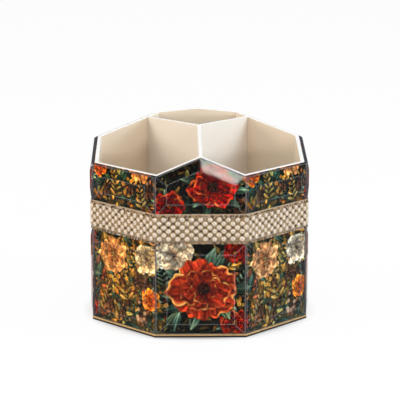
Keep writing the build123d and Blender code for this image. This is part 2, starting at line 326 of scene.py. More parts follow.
# Painted shade of the white board, for the inner faces down in the pockets. The walls' one is warmer, for
# warm reflected light painted in too.
WALL_PAINTED_SHADE = finish("warm_lining", srgb(240, 224, 201), depth=0.04, roughness=0.6, size=30.0, bump=0.25,
                     bump_size=1500.0)
DIVIDER_PAINTED_SHADE = finish("divider_painted_shade", srgb(234, 224, 212), depth=0.04, roughness=0.6, size=30.0, bump=0.25,
                      bump_size=1500.0)
WHITE_EDGE = finish("white_edge", srgb(250, 249, 247), depth=0.03, roughness=0.35, bump=0.1, bump_size=500.0)
LEAD = finish("lead_bead", srgb(98, 92, 99), depth=0.4, roughness=0.35, spread=0.3, size=120.0, bump=0.3,
              Metallic=0.9)
OLD_GOLD = finish("old_gold", srgb(186, 152, 104), depth=0.6, roughness=0.36, spread=0.3, size=150.0,
                  bump=0.3, Metallic=0.9)
THREAD_GOLD = finish("thread_gold", srgb(192, 164, 122), depth=0.8, roughness=0.4, spread=0.2, size=500.0,
                     bump=0.5, bump_size=3000.0, Metallic=0.35)
# Dark bronze: the colour of the dark seed beads, and painted shade on the lower part of the foot strip.
BRONZE_AND_PAINTED_SHADE = finish("dark_bronze_and_painted_shade", srgb(26, 18, 14), depth=0.8, roughness=0.45, spread=0.2, size=500.0, bump=0.4,
                Metallic=0.6)
STITCH = finish("stitch", srgb(176, 156, 134), depth=0.5, roughness=0.5, size=500.0, bump=0.3)
PEARL = finish("pearl", srgb(220, 204, 189), depth=0.5, roughness=0.25, spread=0.15, size=260.0, bump=0.05,
               Coat_Weight=1.0, Coat_Roughness=0.05, Coat_IOR=1.9)
FELT = finish("pocket_felt", srgb(214, 206, 194), depth=0.2, roughness=0.95, bump=0.9, bump_size=2500.0,
              Sheen_Weight=0.4, Sheen_Roughness=0.5)
STEEL = finish("race_steel", srgb(186, 188, 190), depth=0.12, roughness=0.3, spread=0.2, size=90.0, bump=0.15,
               Metallic=1.0)
SCREW = finish("screw_steel", srgb(200, 198, 190), depth=0.15, roughness=0.25, spread=0.2, bump=0.1,
               Metallic=1.0)
BALL = finish("ball_steel", srgb(214, 216, 218), depth=0.05, roughness=0.1, spread=0.05, bump=0.02,
              Metallic=1.0)
NYLON = finish("nylon", srgb(232, 230, 222), depth=0.06, roughness=0.45, bump=0.2, bump_size=600.0)
BLACK_BASE = finish("black_base", srgb(28, 28, 30), depth=0.2, roughness=0.5, bump=0.5, bump_size=1200.0)
RUBBER = finish("foot_rubber", srgb(22, 22, 23), depth=0.2, roughness=0.85, bump=0.4, bump_size=900.0)
print("finishes:", len(bpy.data.materials))

# %% [markdown]
# A CAD part comes in as loose triangles. To model on it, a copy has its triangles joined and its flat
# faces made whole again. Real edges are never quite sharp, so a narrow bevel goes on them, and only the
# faces of that bevel are smooth, which keeps the flats flat.


# %% Mesh helpers
def joined_copy(node):
    """bmesh of a CAD node, joined up, with whole flat faces."""
    mesh = bmesh.new()
    mesh.from_mesh(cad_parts[node].data)
    bmesh.ops.remove_doubles(mesh, verts=mesh.verts, dist=0.002 * MM)
    bmesh.ops.dissolve_limit(mesh, angle_limit=math.radians(1), verts=mesh.verts, edges=mesh.edges)
    for face in mesh.faces:
        face.smooth = False
        face.material_index = 0
    return mesh


def corners_of(mesh, degrees=30):
    """Edges where two faces meet at more than this angle."""
    return [e for e in mesh.edges if len(e.link_faces) == 2 and e.calc_face_angle() > math.radians(degrees)]


def soften(mesh, edges, width, segments=2, material=-1):
    """Rounds edges by a bevel. A material of -1 leaves each new face that of its neighbour."""
    made = bmesh.ops.bevel(mesh, geom=edges, offset=width, offset_type="OFFSET", segments=segments,
                           profile=0.5, affect="EDGES", clamp_overlap=True, material=material)
    for face in made["faces"]:
        face.smooth = True


def piece(name, mesh, body, slot, *materials, replaced=()):
    """Piece of the object: it rides on a body, has a finish, and may stand for CAD nodes."""
    made = object_from(name, mesh, *materials)
    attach(made, body)
    if replaced:
        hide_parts(*replaced)
    return made


# %% [markdown]
# The walls and dividers are white board. The faces that look up or outward get the bare white, as it
# shows in full light. The inner faces down in the pockets get an ivory colour instead, which is painted
# shade, a little warmer on the walls, where it paints warm reflected light too. All edges are rounded by
# a third of a millimetre.

# %% Boards
BOARD_EDGE = 0.3 * MM


def board(node):
    is_wall = node.startswith("wall")
    mesh = joined_copy(node)
    for face in mesh.faces:
        middle, normal = face.calc_center_median(), face.normal
        outward = Vector((middle.x, middle.y, 0)).normalized().dot(normal) if is_wall else 0
        # faces that look up or outward are white, the rest take the painted shade
        face.material_index = int(normal.z > 0.5 or outward > 0.5)
    soften(mesh, corners_of(mesh), BOARD_EDGE, material=1)
    # the painted shade is warmer on the walls than on the dividers
    lining = WALL_PAINTED_SHADE if is_wall else DIVIDER_PAINTED_SHADE
    return piece("board_" + node, mesh, "caddy", "white_board", lining, WHITE_EDGE, replaced=[node])


boards = [board("wall_" + side) for side in SIDE_NAMES]
boards += [board("divider_" + side) for side in ("front", "left", "right")]
print("boards:", len(boards), "with", sum(len(b.data.polygons) for b in boards), "faces")

# %% [markdown]
# The printed sheet is a painted garden on a dark ground: large heads, foliage and small blossoms. The
# design here is an invented one. Noise nodes can't draw a petal, and petals cut as geometry would be far
# too many, so it is painted stroke by stroke on a canvas of numbers, one cell to a quarter of a
# millimetre. The colours are later handed to the vertices of the sheets as a colour attribute. The
# canvas is two sides wide and wraps round, so the design repeats four times on the wrap.

# %% Canvas and noise
MITRE_HALF = PRINT_FACE * HALF_SLOPE
REPEAT_MM = 4 * MITRE_HALF / MM
CANVAS_TOP, CELL_ABOUT = 134, 0.25
COLUMNS = round(REPEAT_MM / CELL_ABOUT)
CELL = REPEAT_MM / COLUMNS
ROWS = round(CANVAS_TOP / CELL)
canvas = np.zeros((ROWS, COLUMNS, 3))
dice = np.random.default_rng(21)


def clouds(spot):
    """Smooth noise from -1 to 1 that wraps round, with spots of about so many mm."""
    waves_z = np.fft.fftfreq(ROWS, CELL)[:, None]
    waves_x = np.fft.fftfreq(COLUMNS, CELL)[None, :]
    keep = np.exp(-(waves_x ** 2 + waves_z ** 2) * (2 * spot) ** 2)
    field = np.fft.ifft2(np.fft.fft2(dice.standard_normal((ROWS, COLUMNS))) * keep).real
    return np.clip(field / (2.2 * field.std()), -1, 1)


def window(x, z, reach):
    """Cells within reach of a point in mm, and their offsets from it."""
    span = int(reach / CELL) + 2
    rows = np.arange(max(int(z / CELL) - span, 0), max(min(int(z / CELL) + span, ROWS), 0))
    columns = np.arange(int(x // CELL) - span, int(x // CELL) + span)
    offset_x = (columns[None, :] + 0.5) * CELL - x
    offset_z = (rows[:, None] + 0.5) * CELL - z
    return np.ix_(rows, columns % COLUMNS), offset_x, offset_z


def ink(red, green, blue):
    """Ink colour, 0 to 255 on screen."""
    return np.array((red, green, blue)) / 255


def ease(value):
    value = np.clip(value, 0, 1)
    return value * value * (3 - 2 * value)


print("canvas:", COLUMNS, "x", ROWS, "cells of", round(CELL, 3), "mm, repeat", round(REPEAT_MM, 1), "mm")

# %% [markdown]
# One stroke shape serves for petals, leaves and blades. It runs from its foot at an angle, and its half
# width follows a sine curve: a shape above 1 moves the widest place to the tip, and a low power makes
# the tip blunt. The stroke first darkens what lies under its edge, then lays its own colours: foot, body
# and tip along it, thin streaks beside each other, and a lighter rim where it curls to the light.

# %% One stroke
LIGHT_FROM = math.radians(125)
SHADE_REACH = 1.6


def stroke(x, z, angle, length, width, paints, shape, power, ruffle, rim, vein=0.0, shade=0.5):
    """Petal, leaf or blade. paints: foot, body, tip and rim."""
    foot, body, tip, light = paints
    cosine, sine = math.cos(angle), math.sin(angle)
    cells, off_x, off_z = window(x + cosine * length / 2, z + sine * length / 2,
                                 max(length, width) * 0.62 + SHADE_REACH)
    if cells[0].size == 0:
        return
    along = (off_x * cosine + off_z * sine) / length + 0.5
    across = (off_z * cosine - off_x * sine) / (width / 2)
    # the outline, and the shadow round it
    phases = dice.uniform(0, 2 * math.pi, 4)
    wave = np.sin(across * 4.5 + phases[0]) + 0.6 * np.sin(across * 9.5 + phases[1])
    run = along + ruffle * wave
    half = np.sin(np.pi * np.clip(run, 0, 1) ** shape) ** power
    edge = np.minimum(half - np.abs(across), 1.0) * width / 2
    edge = np.minimum(edge, np.minimum(run, 1 - run) * length + 0.15)
    cover = np.clip(edge / 0.4 + 0.5, 0, 1)
    under = np.clip(1 + edge / SHADE_REACH, 0, 1) ** 2 * shade
    # colours along it, with thin streaks
    streak = (np.sin(across * 11 + phases[2] + 2 * along) + 0.7 * np.sin(across * 23 + phases[3] - 3 * along)
              + 0.8 * np.sin(across * 5 + phases[1] + along))
    level = np.clip(along + 0.05 * streak, 0, 1)
    colour = foot + (body - foot) * ease(level / 0.5)[..., None]
    colour = colour + (tip - colour) * ease((level - 0.45) / 0.5)[..., None]
    colour = colour * (1 + 0.13 * streak * (0.4 + level))[..., None]
    # midrib and ribs of a leaf, and its darker half
    if vein:
        ribs = np.maximum(np.cos((along - 0.35 * np.abs(across)) * length * 2.6), 0) ** 4 * 0.5
        midrib = np.exp(-(across * width / 0.7) ** 2)
        colour = colour + (light - colour) * (np.clip(ribs + midrib, 0, 1) * vein)[..., None]
        colour = colour * np.where(across > 0, 1.12, 0.82)[..., None]
    # the rim that curls to the light, and the fold inside it
    facing = 0.5 + 0.5 * np.cos(angle - LIGHT_FROM + across * 0.9)
    broken = ease(0.45 + 0.5 * wave / 1.6 + 0.5 * facing)
    curl = np.clip(1.25 - edge / (0.10 * length + 0.25), 0, 1) * (run > 0.35)
    colour = colour + (light - colour) * np.clip(curl * broken * rim, 0, 1)[..., None]
    fold = np.clip(1 - np.abs(edge - 0.16 * length - 0.3) / (0.12 * length), 0, 1)
    colour = colour * (1 - 0.25 * fold * rim)[..., None]
    painted = canvas[cells] * (1 - under * (1 - 0.3 * cover))[..., None]
    canvas[cells] = painted + (colour - painted) * cover[..., None]


# %% [markdown]
# A head is rings of petals, painted from the outermost inwards so each ring covers the feet of the one
# before. Narrow petals give a dahlia, and wide ones that overlap give a rose. The middle gets a dark
# dimple and a scatter of stamens.

# %% Heads, leaves, sprigs and blossoms
STAMENS = 26


def dab(x, z, radius, colour, shade=0.35):
    """Round touch of paint, with a little shadow."""
    cells, off_x, off_z = window(x, z, radius + 0.8)
    if cells[0].size == 0:
        return
    edge = radius - np.hypot(off_x, off_z)
    cover = np.clip(edge / 0.35 + 0.5, 0, 1)
    under = np.clip(1 + edge / 0.7, 0, 1) * shade
    lit = 1 + 0.25 * (off_z - off_x) / (radius + 0.2)
    painted = canvas[cells] * (1 - under)[..., None]
    canvas[cells] = painted + (colour * lit[..., None] - painted) * cover[..., None]


def vary(paints, amount):
    """Paints a little lighter or darker, and warmer or cooler."""
    level = 1 + dice.uniform(-amount, amount)
    warm = dice.uniform(-amount, amount) * 0.35
    return [p * level * np.array((1 + warm, 1, 1 - warm)) for p in paints]


def head(x, z, radius, paints, counts, plump, rim, gilt, power, pistil, stamen, tilt=0.86, eye=0.13):
    """Flower head: counts gives the petals of each ring, from the outermost in, and gilt the share of
    petals with a bright rim."""
    rings = len(counts)
    for ring, count in enumerate(counts):
        reach = radius * (1 - 0.82 * ring / rings)
        inner = 1 - 0.35 * ring / rings
        turn_by = dice.uniform(0, 2 * math.pi)
        for k in dice.permutation(count):
            angle = turn_by + 2 * math.pi * (k + dice.uniform(-0.18, 0.18)) / count
            size = reach * dice.uniform(0.88, 1.1)
            foot = size * 0.12
            drop = math.hypot(math.cos(angle), math.sin(angle) * tilt)
            seen = math.atan2(math.sin(angle) * tilt, math.cos(angle))
            width = 2 * math.pi * size * plump / count * dice.uniform(0.95, 1.2)
            shades = [p * inner for p in vary(paints, 0.14)]
            bright = rim if dice.uniform() < gilt else 0.15 * rim
            stroke(x + foot * math.cos(seen), z + foot * math.sin(seen), seen, size * drop * 0.9, width,
                   shades, shape=1.75, power=power, ruffle=0.06, rim=bright, shade=0.6)
    if pistil is not None:
        dab(x, z, radius * eye, pistil)
        for k in range(STAMENS):
            angle, out = dice.uniform(0, 2 * math.pi), radius * eye * dice.uniform(0.3, 1.3)
            tone = stamen * dice.uniform(0.6, 1.1)
            dab(x + out * math.cos(angle), z + out * tilt * math.sin(angle), 0.32, tone, 0.3)


def leaf(x, z, angle, length, width, paints):
    stroke(x, z, angle, length, width, vary(paints, 0.2), shape=0.85, power=0.95, ruffle=0.012, vein=0.55,
           rim=0.25)


def spray(x, z, angle, length, paints, pairs=5, slim=0.36):
    """Stem with pairs of leaflets that get smaller towards the tip."""
    bend = dice.uniform(-0.5, 0.5)
    for k in range(pairs):
        t = (k + 0.5) / pairs
        heading = angle + bend * t
        px, pz = x + length * t * math.cos(heading), z + length * t * math.sin(heading)
        for side in (-1, 1):
            size = length * (0.42 - 0.24 * t)
            leaf(px, pz, heading + side * (1.05 - 0.35 * t), size, size * slim, paints)
    end = angle + bend
    leaf(x + length * math.cos(end), z + length * math.sin(end), end, length * 0.28, length * 0.1, paints)


def blossoms(x, z, spread, count, petal_ink, heart):
    """Cluster of little five-petalled flowers."""
    for k in range(count):
        bx, bz = x + dice.normal(0, spread), z + dice.normal(0, spread * 0.8)
        start, size = dice.uniform(0, 6.28), dice.uniform(0.7, 1.15)
        tone = petal_ink * dice.uniform(0.65, 1.1)
        for p in range(5):
            angle = start + 2 * math.pi * p / 5
            dab(bx + size * math.cos(angle), bz + size * math.sin(angle), size * 0.55, tone, 0.2)
        dab(bx, bz, 0.4, heart, 0.1)


# %% [markdown]
# The ground is laid in dark first, then thousands of short blades and crumpled leaves go over it. Clouds
# of noise decide where they are teal, olive, gold or brown, which gives the drifts of colour of a
# painted hedge. Each paint is four inks, for the foot, body, tip and rim of a stroke.

# %% Ground of foliage
DARK = [ink(10, 16, 14), ink(22, 32, 25), ink(38, 48, 34), ink(72, 78, 46)]
TEAL = [ink(12, 28, 26), ink(42, 66, 58), ink(92, 116, 98), ink(176, 184, 150)]
OLIVE = [ink(52, 46, 22), ink(122, 104, 56), ink(164, 140, 86), ink(206, 180, 122)]
GOLD = [ink(96, 58, 20), ink(184, 126, 50), ink(226, 176, 86), ink(246, 214, 134)]
BROWN = [ink(52, 24, 16), ink(126, 68, 44), ink(176, 112, 78), ink(216, 166, 122)]
RUST = [ink(70, 20, 10), ink(146, 50, 28), ink(166, 64, 38), ink(250, 196, 112)]
SCARLET = [ink(48, 6, 4), ink(124, 24, 12), ink(168, 44, 24), ink(236, 150, 80)]
CREAM = [ink(156, 126, 104), ink(212, 188, 156), ink(232, 212, 182), ink(252, 242, 214)]
PEACH = [ink(134, 74, 44), ink(198, 136, 92), ink(226, 172, 118), ink(250, 216, 148)]
ORANGE = [ink(120, 30, 10), ink(204, 88, 28), ink(234, 140, 50), ink(250, 204, 104)]
NIGHT, MOSS, HAZE = ink(15, 24, 22), ink(38, 40, 26), ink(124, 102, 60)
FRONT_X, SIDE_X = MITRE_HALF / MM, 3 * MITRE_HALF / MM


def sunlight(x):
    """0 in the middle of the front panel and 1 in the middle of the one beside it."""
    return 0.5 - 0.5 * np.cos(2 * np.pi * (x - FRONT_X) / REPEAT_MM)


canvas[:] = NIGHT + (MOSS - NIGHT) * ease(0.5 + clouds(7))[..., None]
haze = (0.35 + 0.65 * ease(0.5 + clouds(5))) * sunlight((np.arange(COLUMNS) + 0.5) * CELL)
canvas += (HAZE - canvas) * haze[..., None]
drift, warmth, flow = clouds(14), clouds(10), clouds(12)


def leafage(count, shortest, longest, slim, lift):
    """Blades of these lengths in mm all over the canvas, lighter and warmer on the side panel."""
    for k in range(count):
        x, z = dice.uniform(0, REPEAT_MM), dice.uniform(0, ROWS * CELL)
        at = (int(z / CELL), int(x / CELL) % COLUMNS)
        sunny = sunlight(x)
        choice = dice.uniform(-1, 1) - 0.25 * sunny
        if choice < drift[at] - 0.35:
            paints = TEAL
        elif choice < drift[at] + 0.35:
            paints = OLIVE
        elif warmth[at] > 0.45 - 0.9 * sunny:
            paints = BROWN if choice < 0.55 else GOLD
        else:
            paints = OLIVE if sunny > 0.6 else DARK
        level = (lift + 0.3 * k / count) * (0.75 + 0.6 * sunny)
        paints = [p + (paints[1] - p) * 0.45 * sunny for p in paints]
        angle = flow[at] * 4 + dice.normal(1.4, 0.9)
        length = dice.uniform(shortest, longest)
        width = length * slim * dice.uniform(0.75, 1.3)
        stroke(x, z, angle, length, width, [p * level for p in vary(paints, 0.3)], shape=0.9, power=0.9,
               ruffle=0.03, rim=0.1, shade=0.26)


leafage(1900, 2.4, 6.0, 0.36, 0.5)
leafage(700, 6.0, 12.0, 0.3, 0.65)
leafage(700, 1.6, 3.6, 0.45, 0.8)
print("ground painted, mean", np.round(canvas.mean(axis=(0, 1)) * 255))

# %% [markdown]
# The composition. Its left half is the front of the box and its right half the side next to it. Big heads
# sit where a panel shows them whole, and are laid over leaves that point away from them.


# %% The garden
def garland(x, z, radius, paints, leaves):
    """Ring of leaves that peep out from under a head."""
    for k in range(leaves):
        angle = 2 * math.pi * (k + dice.uniform(-0.3, 0.3)) / leaves
        away = radius * dice.uniform(0.45, 0.7)
        leaf(x + away * math.cos(angle), z + away * math.sin(angle), angle + dice.uniform(-0.5, 0.5),
             radius * dice.uniform(0.7, 1.0), radius * dice.uniform(0.26, 0.4), paints)


def dahlia(x, z, radius, paints, heart=DARK[1]):
    garland(x, z, radius, TEAL, 7)
    head(x, z, radius, paints, (9, 8, 7, 5), plump=1.15, rim=1.0, gilt=0.5, power=0.5, eye=0.18,
         pistil=heart, stamen=BROWN[2])


def rose(x, z, radius, paints, heart=None):
    garland(x, z, radius, OLIVE, 6)
    head(x, z, radius, paints, (6, 5, 4), plump=1.7, rim=0.7, gilt=0.3, power=0.36, tilt=0.92, pistil=heart,
         stamen=GOLD[3])


def poppy(x, z, radius, paints):
    garland(x, z, radius, TEAL, 4)
    head(x, z, radius, paints, (6, 6, 5), plump=1.4, rim=1.0, gilt=0.3, power=0.45, pistil=DARK[1],
         stamen=ORANGE[2])


for x, z, angle, length in (
        (SIDE_X - 22, 8, 1.0, 20), (SIDE_X + 4, 20, 1.9, 22), (SIDE_X + 24, 40, 2.2, 18),
        (SIDE_X - 12, 30, 0.7, 16), (FRONT_X + 23, 30, 1.2, 18), (SIDE_X - 8, 92, 1.4, 18),
        (SIDE_X + 18, 88, 1.9, 16), (FRONT_X - 24, 36, 1.6, 16), (FRONT_X + 24, 108, 2.4, 14)):
    spray(x, z, angle, length, TEAL if dice.uniform() < 0.45 else OLIVE)
for x, z, angle in (
        (FRONT_X - 24, 8, 0.9), (FRONT_X - 18, 5, 1.3), (FRONT_X - 25, 20, 0.2), (FRONT_X - 8, 82, 1.9),
        (FRONT_X + 25, 104, 2.0), (SIDE_X + 8, 62, 2.6), (SIDE_X - 26, 30, 1.4), (SIDE_X + 2, 6, 2.2)):
    leaf(x, z, angle, 15, 5.5, TEAL)
for x, z, angle in (
        (SIDE_X - 20, 9, 0.9), (SIDE_X - 6, 5, 1.5), (SIDE_X + 14, 6, 1.1), (SIDE_X + 22, 30, 1.9),
        (SIDE_X + 2, 94, 1.2), (SIDE_X - 22, 90, 1.0), (SIDE_X + 16, 34, 2.3), (SIDE_X - 4, 30, 1.7),
        (SIDE_X + 24, 94, 1.7)):
    spray(x, z, angle, 12, BROWN if dice.uniform() < 0.7 else GOLD, pairs=9, slim=0.2)
    spray(x + 5, z + 2, angle + 0.5, 9, BROWN, pairs=8, slim=0.2)
for x, z, spread, count in (
        (SIDE_X - 2, 34, 7, 12), (SIDE_X + 16, 18, 6, 9), (SIDE_X - 18, 54, 4, 6), (FRONT_X + 24, 24, 3, 5),
        (FRONT_X - 25, 30, 3, 5), (SIDE_X + 8, 108, 6, 9), (FRONT_X + 25, 98, 3, 5), (SIDE_X + 22, 62, 5, 6)):
    blossoms(x, z, spread, count, CREAM[2] * 0.9 if dice.uniform() < 0.5 else GOLD[2], ORANGE[1])

poppy(SIDE_X + 25, 26, 7.5, ORANGE)
poppy(SIDE_X - 24, 112, 7, ORANGE)
rose(SIDE_X - 11, 52, 11, [p * 0.93 for p in PEACH], GOLD[0])
rose(SIDE_X + 21, 54, 9, [p * 0.86 for p in CREAM])
poppy(FRONT_X + 23, 11, 9, SCARLET)
rose(FRONT_X - 18, 58, 11, CREAM)
dahlia(FRONT_X + 2, 35, 22, RUST, BROWN[0])
poppy(FRONT_X + 23, 60, 7.5, SCARLET)
poppy(FRONT_X - 21, 92, 9.5, SCARLET)
dahlia(FRONT_X + 8, 105, 16, SCARLET)
rose(SIDE_X + 15, 116, 8.5, PEACH, GOLD[0])

# %% [markdown]
# A paper print has fine and coarse unevenness, so noise goes over the whole canvas. Then the contrast is
# set as a printer would, and above the belt, where the photograph's print is richer, it is set twice.

# %% Contrast of the print
CONTRAST = 1.2
BLACK_POINT, WHITE_RANGE = 0.045, 0.87
RICHER_FROM, RICHER_OVER, RICHER_GAIN = 66, 14, 1.05

canvas *= (0.98 + 0.10 * clouds(0.5) + 0.12 * clouds(4))[..., None]
canvas = np.clip(canvas, 0, 1)
richer = ease((np.arange(ROWS) * CELL - RICHER_FROM) / RICHER_OVER)[:, None, None]
canvas += (RICHER_GAIN * canvas ** CONTRAST - canvas) * richer
canvas = np.clip((canvas ** CONTRAST - BLACK_POINT) / WHITE_RANGE, 0, 1)
below = canvas[:int(RICHER_FROM / CELL)]
for panel, part in (("front", below[:, :COLUMNS // 2]), ("side", below[:, COLUMNS // 2:])):
    print("mean of the lower", panel, np.round(part.mean(axis=(0, 1)) * 255))


# %% [markdown]
# The sheet ends just under the white rim, which climbs from the front of the box to its back and has a
# gable on two sides. The outline of the upper glass gives that line: the heights of its two upper
# corners, and of a peak between them where there is one.


# %% Rooflines
def roofline(side):
    """Heights of the wrap's top edge at the left end, middle and right end of a side, in metres."""
    turn_back = Matrix.Rotation(-STEP_ROUND * side, 3, "Z")
    points = [turn_back @ v.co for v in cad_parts["upper_glass_" + SIDE_NAMES[side]].data.vertices]
    outline = [p for p in points if abs(p.y + GLASS_BACK) < 0.01 * MM]
    half = max(p.x for p in outline)
    ends = [max(p.z for p in outline if abs(p.x - x) < 0.1 * MM) for x in (-half, half)]
    peak = [p.z for p in outline if abs(p.x) < 0.1 * MM and p.z > min(ends)]
    return ends[0], max(peak) if peak else sum(ends) / 2, ends[1]


rooflines = [roofline(side) for side in range(len(SIDE_NAMES))]
for side, (left_z, middle_z, right_z) in zip(SIDE_NAMES, rooflines):
    print(f"{side}: {left_z / MM:.1f} {middle_z / MM:.1f} {right_z / MM:.1f} mm")


# %% [markdown]
# The painted sheet goes on as eight panels, one to a side. Each starts as a fine square grid, whose rows
# are stretched between the bottom edge and the roofline of its side. A short return is drawn back from
# its border and closed, which makes the panel a thin closed sheet. Its vertices then take their colours
# from the canvas. In the photograph the print is more golden on the left than on the right, and a tint
# for each side follows that.

# %% Sheets
SHEET_STEP = 0.33 * MM
SHEET_BACK = BOARD_FACE + 0.05 * MM
SHEET_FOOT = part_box("print_wrap")[0].z
SEAM_GAP = 0.06 * MM
PLAIN_REVEAL, GABLE_REVEAL = 0.7 * MM, 0.35 * MM
SUNNY_SIDE = {"front_left": (1.3, 1.1, 0.76), "front_right": (0.94, 0.99, 1.07),
              "rear_right": (1.1, 1.0, 0.9)}


def sample(across, up):
    """Canvas colours, as linear values, at places given in mm, blended between the four nearest cells."""
    column, row = across / CELL - 0.5, np.clip(up / CELL - 0.5, 0, ROWS - 1.001)
    left, low = np.floor(column).astype(int), np.floor(row).astype(int)
    part_x, part_z = (column - left)[:, None], (row - low)[:, None]
    left, right = left % COLUMNS, (left + 1) % COLUMNS
    lower = canvas[low, left] * (1 - part_x) + canvas[low, right] * part_x
    upper = canvas[low + 1, left] * (1 - part_x) + canvas[low + 1, right] * part_x
    return ((lower * (1 - part_z) + upper * part_z + 0.055) / 1.055) ** 2.4


def sheet(side, material):
    half = MITRE_HALF - SEAM_GAP
    left_z, middle_z, right_z = rooflines[side]
    above = GABLE_REVEAL if middle_z > (left_z + right_z) / 2 + MM else PLAIN_REVEAL
    left_z, middle_z, right_z = left_z + above, middle_z + above, right_z + above
    mesh = bmesh.new()
    across_count = round(2 * half / SHEET_STEP / 2) * 2
    up_count = round((middle_z - SHEET_FOOT) / SHEET_STEP)
    bmesh.ops.create_grid(mesh, x_segments=across_count, y_segments=up_count, size=1.0)
    for vert in mesh.verts:
        x, share = vert.co.x, (vert.co.y + 1) / 2
        top = middle_z + ((right_z if x > 0 else left_z) - middle_z) * abs(x)
        vert.co = (x * half, -PRINT_FACE, SHEET_FOOT + share * (top - SHEET_FOOT))
    for face in mesh.faces:
        face.smooth = False
    border = [e for e in mesh.edges if e.is_boundary]
    drawn = bmesh.ops.extrude_edge_only(mesh, edges=border)["geom"]
    returned = [g for g in drawn if isinstance(g, bmesh.types.BMVert)]
    bmesh.ops.translate(mesh, verts=returned, vec=(0, PRINT_FACE - SHEET_BACK, 0))
    rim = [g for g in drawn if isinstance(g, bmesh.types.BMEdge) and g.is_boundary]
    bmesh.ops.contextual_create(mesh, geom=rim)
    bmesh.ops.recalc_face_normals(mesh, faces=mesh.faces)
    places = np.array([v.co for v in mesh.verts])
    bmesh.ops.rotate(mesh, verts=mesh.verts, matrix=Matrix.Rotation(STEP_ROUND * side, 3, "Z"))
    made = piece("print_" + SIDE_NAMES[side], mesh, "caddy", "floral_print", material,
                 replaced=["print_wrap"])
    colours = np.ones((len(places), 4), np.float32)
    colours[:, :3] = sample(places[:, 0] / MM + FRONT_X * (1 + 2 * side), places[:, 2] / MM)
    colours[:, :3] = np.clip(colours[:, :3] * SUNNY_SIDE.get(SIDE_NAMES[side], (1, 1, 1)), 0, 1)
    paint = made.data.color_attributes.new("painted", "FLOAT_COLOR", "POINT")
    paint.data.foreach_set("color", colours.ravel())
    return made


# %% [markdown]
# The ink lies on the tooth of the paper, so a fine noise breaks the colour and its gloss a little, and a
# shallow bump gives the sheen of a print rather than of plastic.

# %% Print finish
PAPER_TOOTH = 0.05 * MM
PRINT, tree = new_tree("floral_print")
painted = add(tree, "ShaderNodeVertexColor", layer_name="painted").outputs["Color"]
look = grouped(tree, mottle, Colour=painted, Depth=0.08, Roughness=0.5, Spread=0.2, Size=700.0)
height = grouped(tree, grain, Size=2200.0, Detail=3.0).outputs["Height"]
finish_with(tree, surface(tree, look, height, 0.25, PAPER_TOOTH, Specular_IOR_Level=0.05))

sheets = [sheet(side, PRINT) for side in range(len(SIDE_NAMES))]
print("sheets:", len(sheets), "of", len(sheets[0].data.polygons), "faces or more")

# %% [markdown]
# Sixteen glass tiles cover the print, with a bevel all round that is 7 mm wide. Their CAD shape is
# right, but its ridges are perfectly sharp. Polished ridges catch the light as thin white lines, so each
# gets a very narrow bevel with a second, less clear glass. The cut edges at the top and bottom get a dark
# colour, a painted reflection for the dark look of thick glass seen edge-on, which shows as a thin line
# under the rim. The index of refraction is set low: at the 1.5 of window glass, the mirrored white floor
# would lie as a milky veil over the dark print.

# %% Glass
GLASS_IOR = 1.15


def glass(name, roughness, clear, tint):
    """Glass that lets the lamps' light through to the print instead of throwing a black shadow."""
    material, tree = new_tree(name)
    look = grouped(tree, mottle, Colour=tint, Depth=0.02, Roughness=roughness, Spread=0.01, Size=25.0)
    height = grouped(tree, grain, Size=40.0, Detail=1.0).outputs["Height"]
    body = surface(tree, look, height, 0.03, IOR=GLASS_IOR, Transmission_Weight=clear)
    passing = add(tree, "ShaderNodeBsdfTransparent", {"Color": (0.97, 0.98, 0.97, 1)})
    shadow_ray = add(tree, "ShaderNodeLightPath").outputs["Is Shadow Ray"]
    finish_with(tree, add(tree, "ShaderNodeMixShader", {0: shadow_ray, 1: body.outputs["BSDF"],
                                                        2: passing.outputs["BSDF"]}))
    return material


CLEAR_GLASS = glass("clear_glass", 0.006, 1.0, (0.98, 0.99, 0.98, 1))
RIDGE_GLASS = glass("ridge_glass", 0.25, 0.84, (0.95, 0.96, 0.98, 1))
RIDGE_WIDTH = 0.18 * MM
# Dark colour for the cut edges: a painted reflection, for thick glass seen edge-on.
PAINTED_EDGE_REFLECTION = finish("edge_painted_reflection", srgb(50, 50, 58), depth=0.4, roughness=0.5, size=200.0, bump=0.3)


def tile(node, side):
    mesh = joined_copy(node)
    outward = Matrix.Rotation(STEP_ROUND * SIDE_NAMES.index(side), 3, "Z") @ Vector((0, -1, 0))
    soften(mesh, corners_of(mesh, 5), RIDGE_WIDTH, segments=1, material=1)
    for face in mesh.faces:
        face.smooth = False
        # the cut edges at the top and bottom take the dark painted reflection
        if abs(face.normal.dot(outward)) < 0.3 and abs(face.normal.z) > 0.5:
            face.material_index = 2
    return piece("tile_" + node, mesh, "caddy", "bevelled_glass", CLEAR_GLASS, RIDGE_GLASS, PAINTED_EDGE_REFLECTION,
                 replaced=[node])


tiles = [tile(row + "_glass_" + side, side) for row in ("upper", "lower") for side in SIDE_NAMES]
print("tiles:", len(tiles), "with", sum(len(t.data.polygons) for t in tiles), "faces")

# %% [markdown]
# The belt is a ribbon of woven gold thread with half pearls sewn on in six staggered rows. Each pearl
# sits in a thin wire collar, and threads run slantwise from collar to collar. The two edges are lace
# bands set with seed beads. It is hand work, so no two pearls have quite the same size and place. In the
# photograph the rows lie about half a millimetre higher than in the CAD model, and so they do here.

# %% Pearl places
PEARLS_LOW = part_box("belt_pearls")[0]
PEARL_ROWS = 6
PEARLS_PER_SIDE = 10
PEARL_RADIUS = -PEARLS_LOW.y - RIBBON_FACE
RAISED_BY = 0.6 * MM
ROW_STEP = 2.63 * MM
FIRST_ROW = PEARLS_LOW.z + PEARL_RADIUS + RAISED_BY
PEARL_STEP = 2 * RIBBON_FACE * HALF_SLOPE / PEARLS_PER_SIDE


def line(count, step, z):
    """Places in one row, as x and z, evenly spaced about the middle of a side."""
    return [((k + 0.5 - count / 2) * step, z) for k in range(count)]


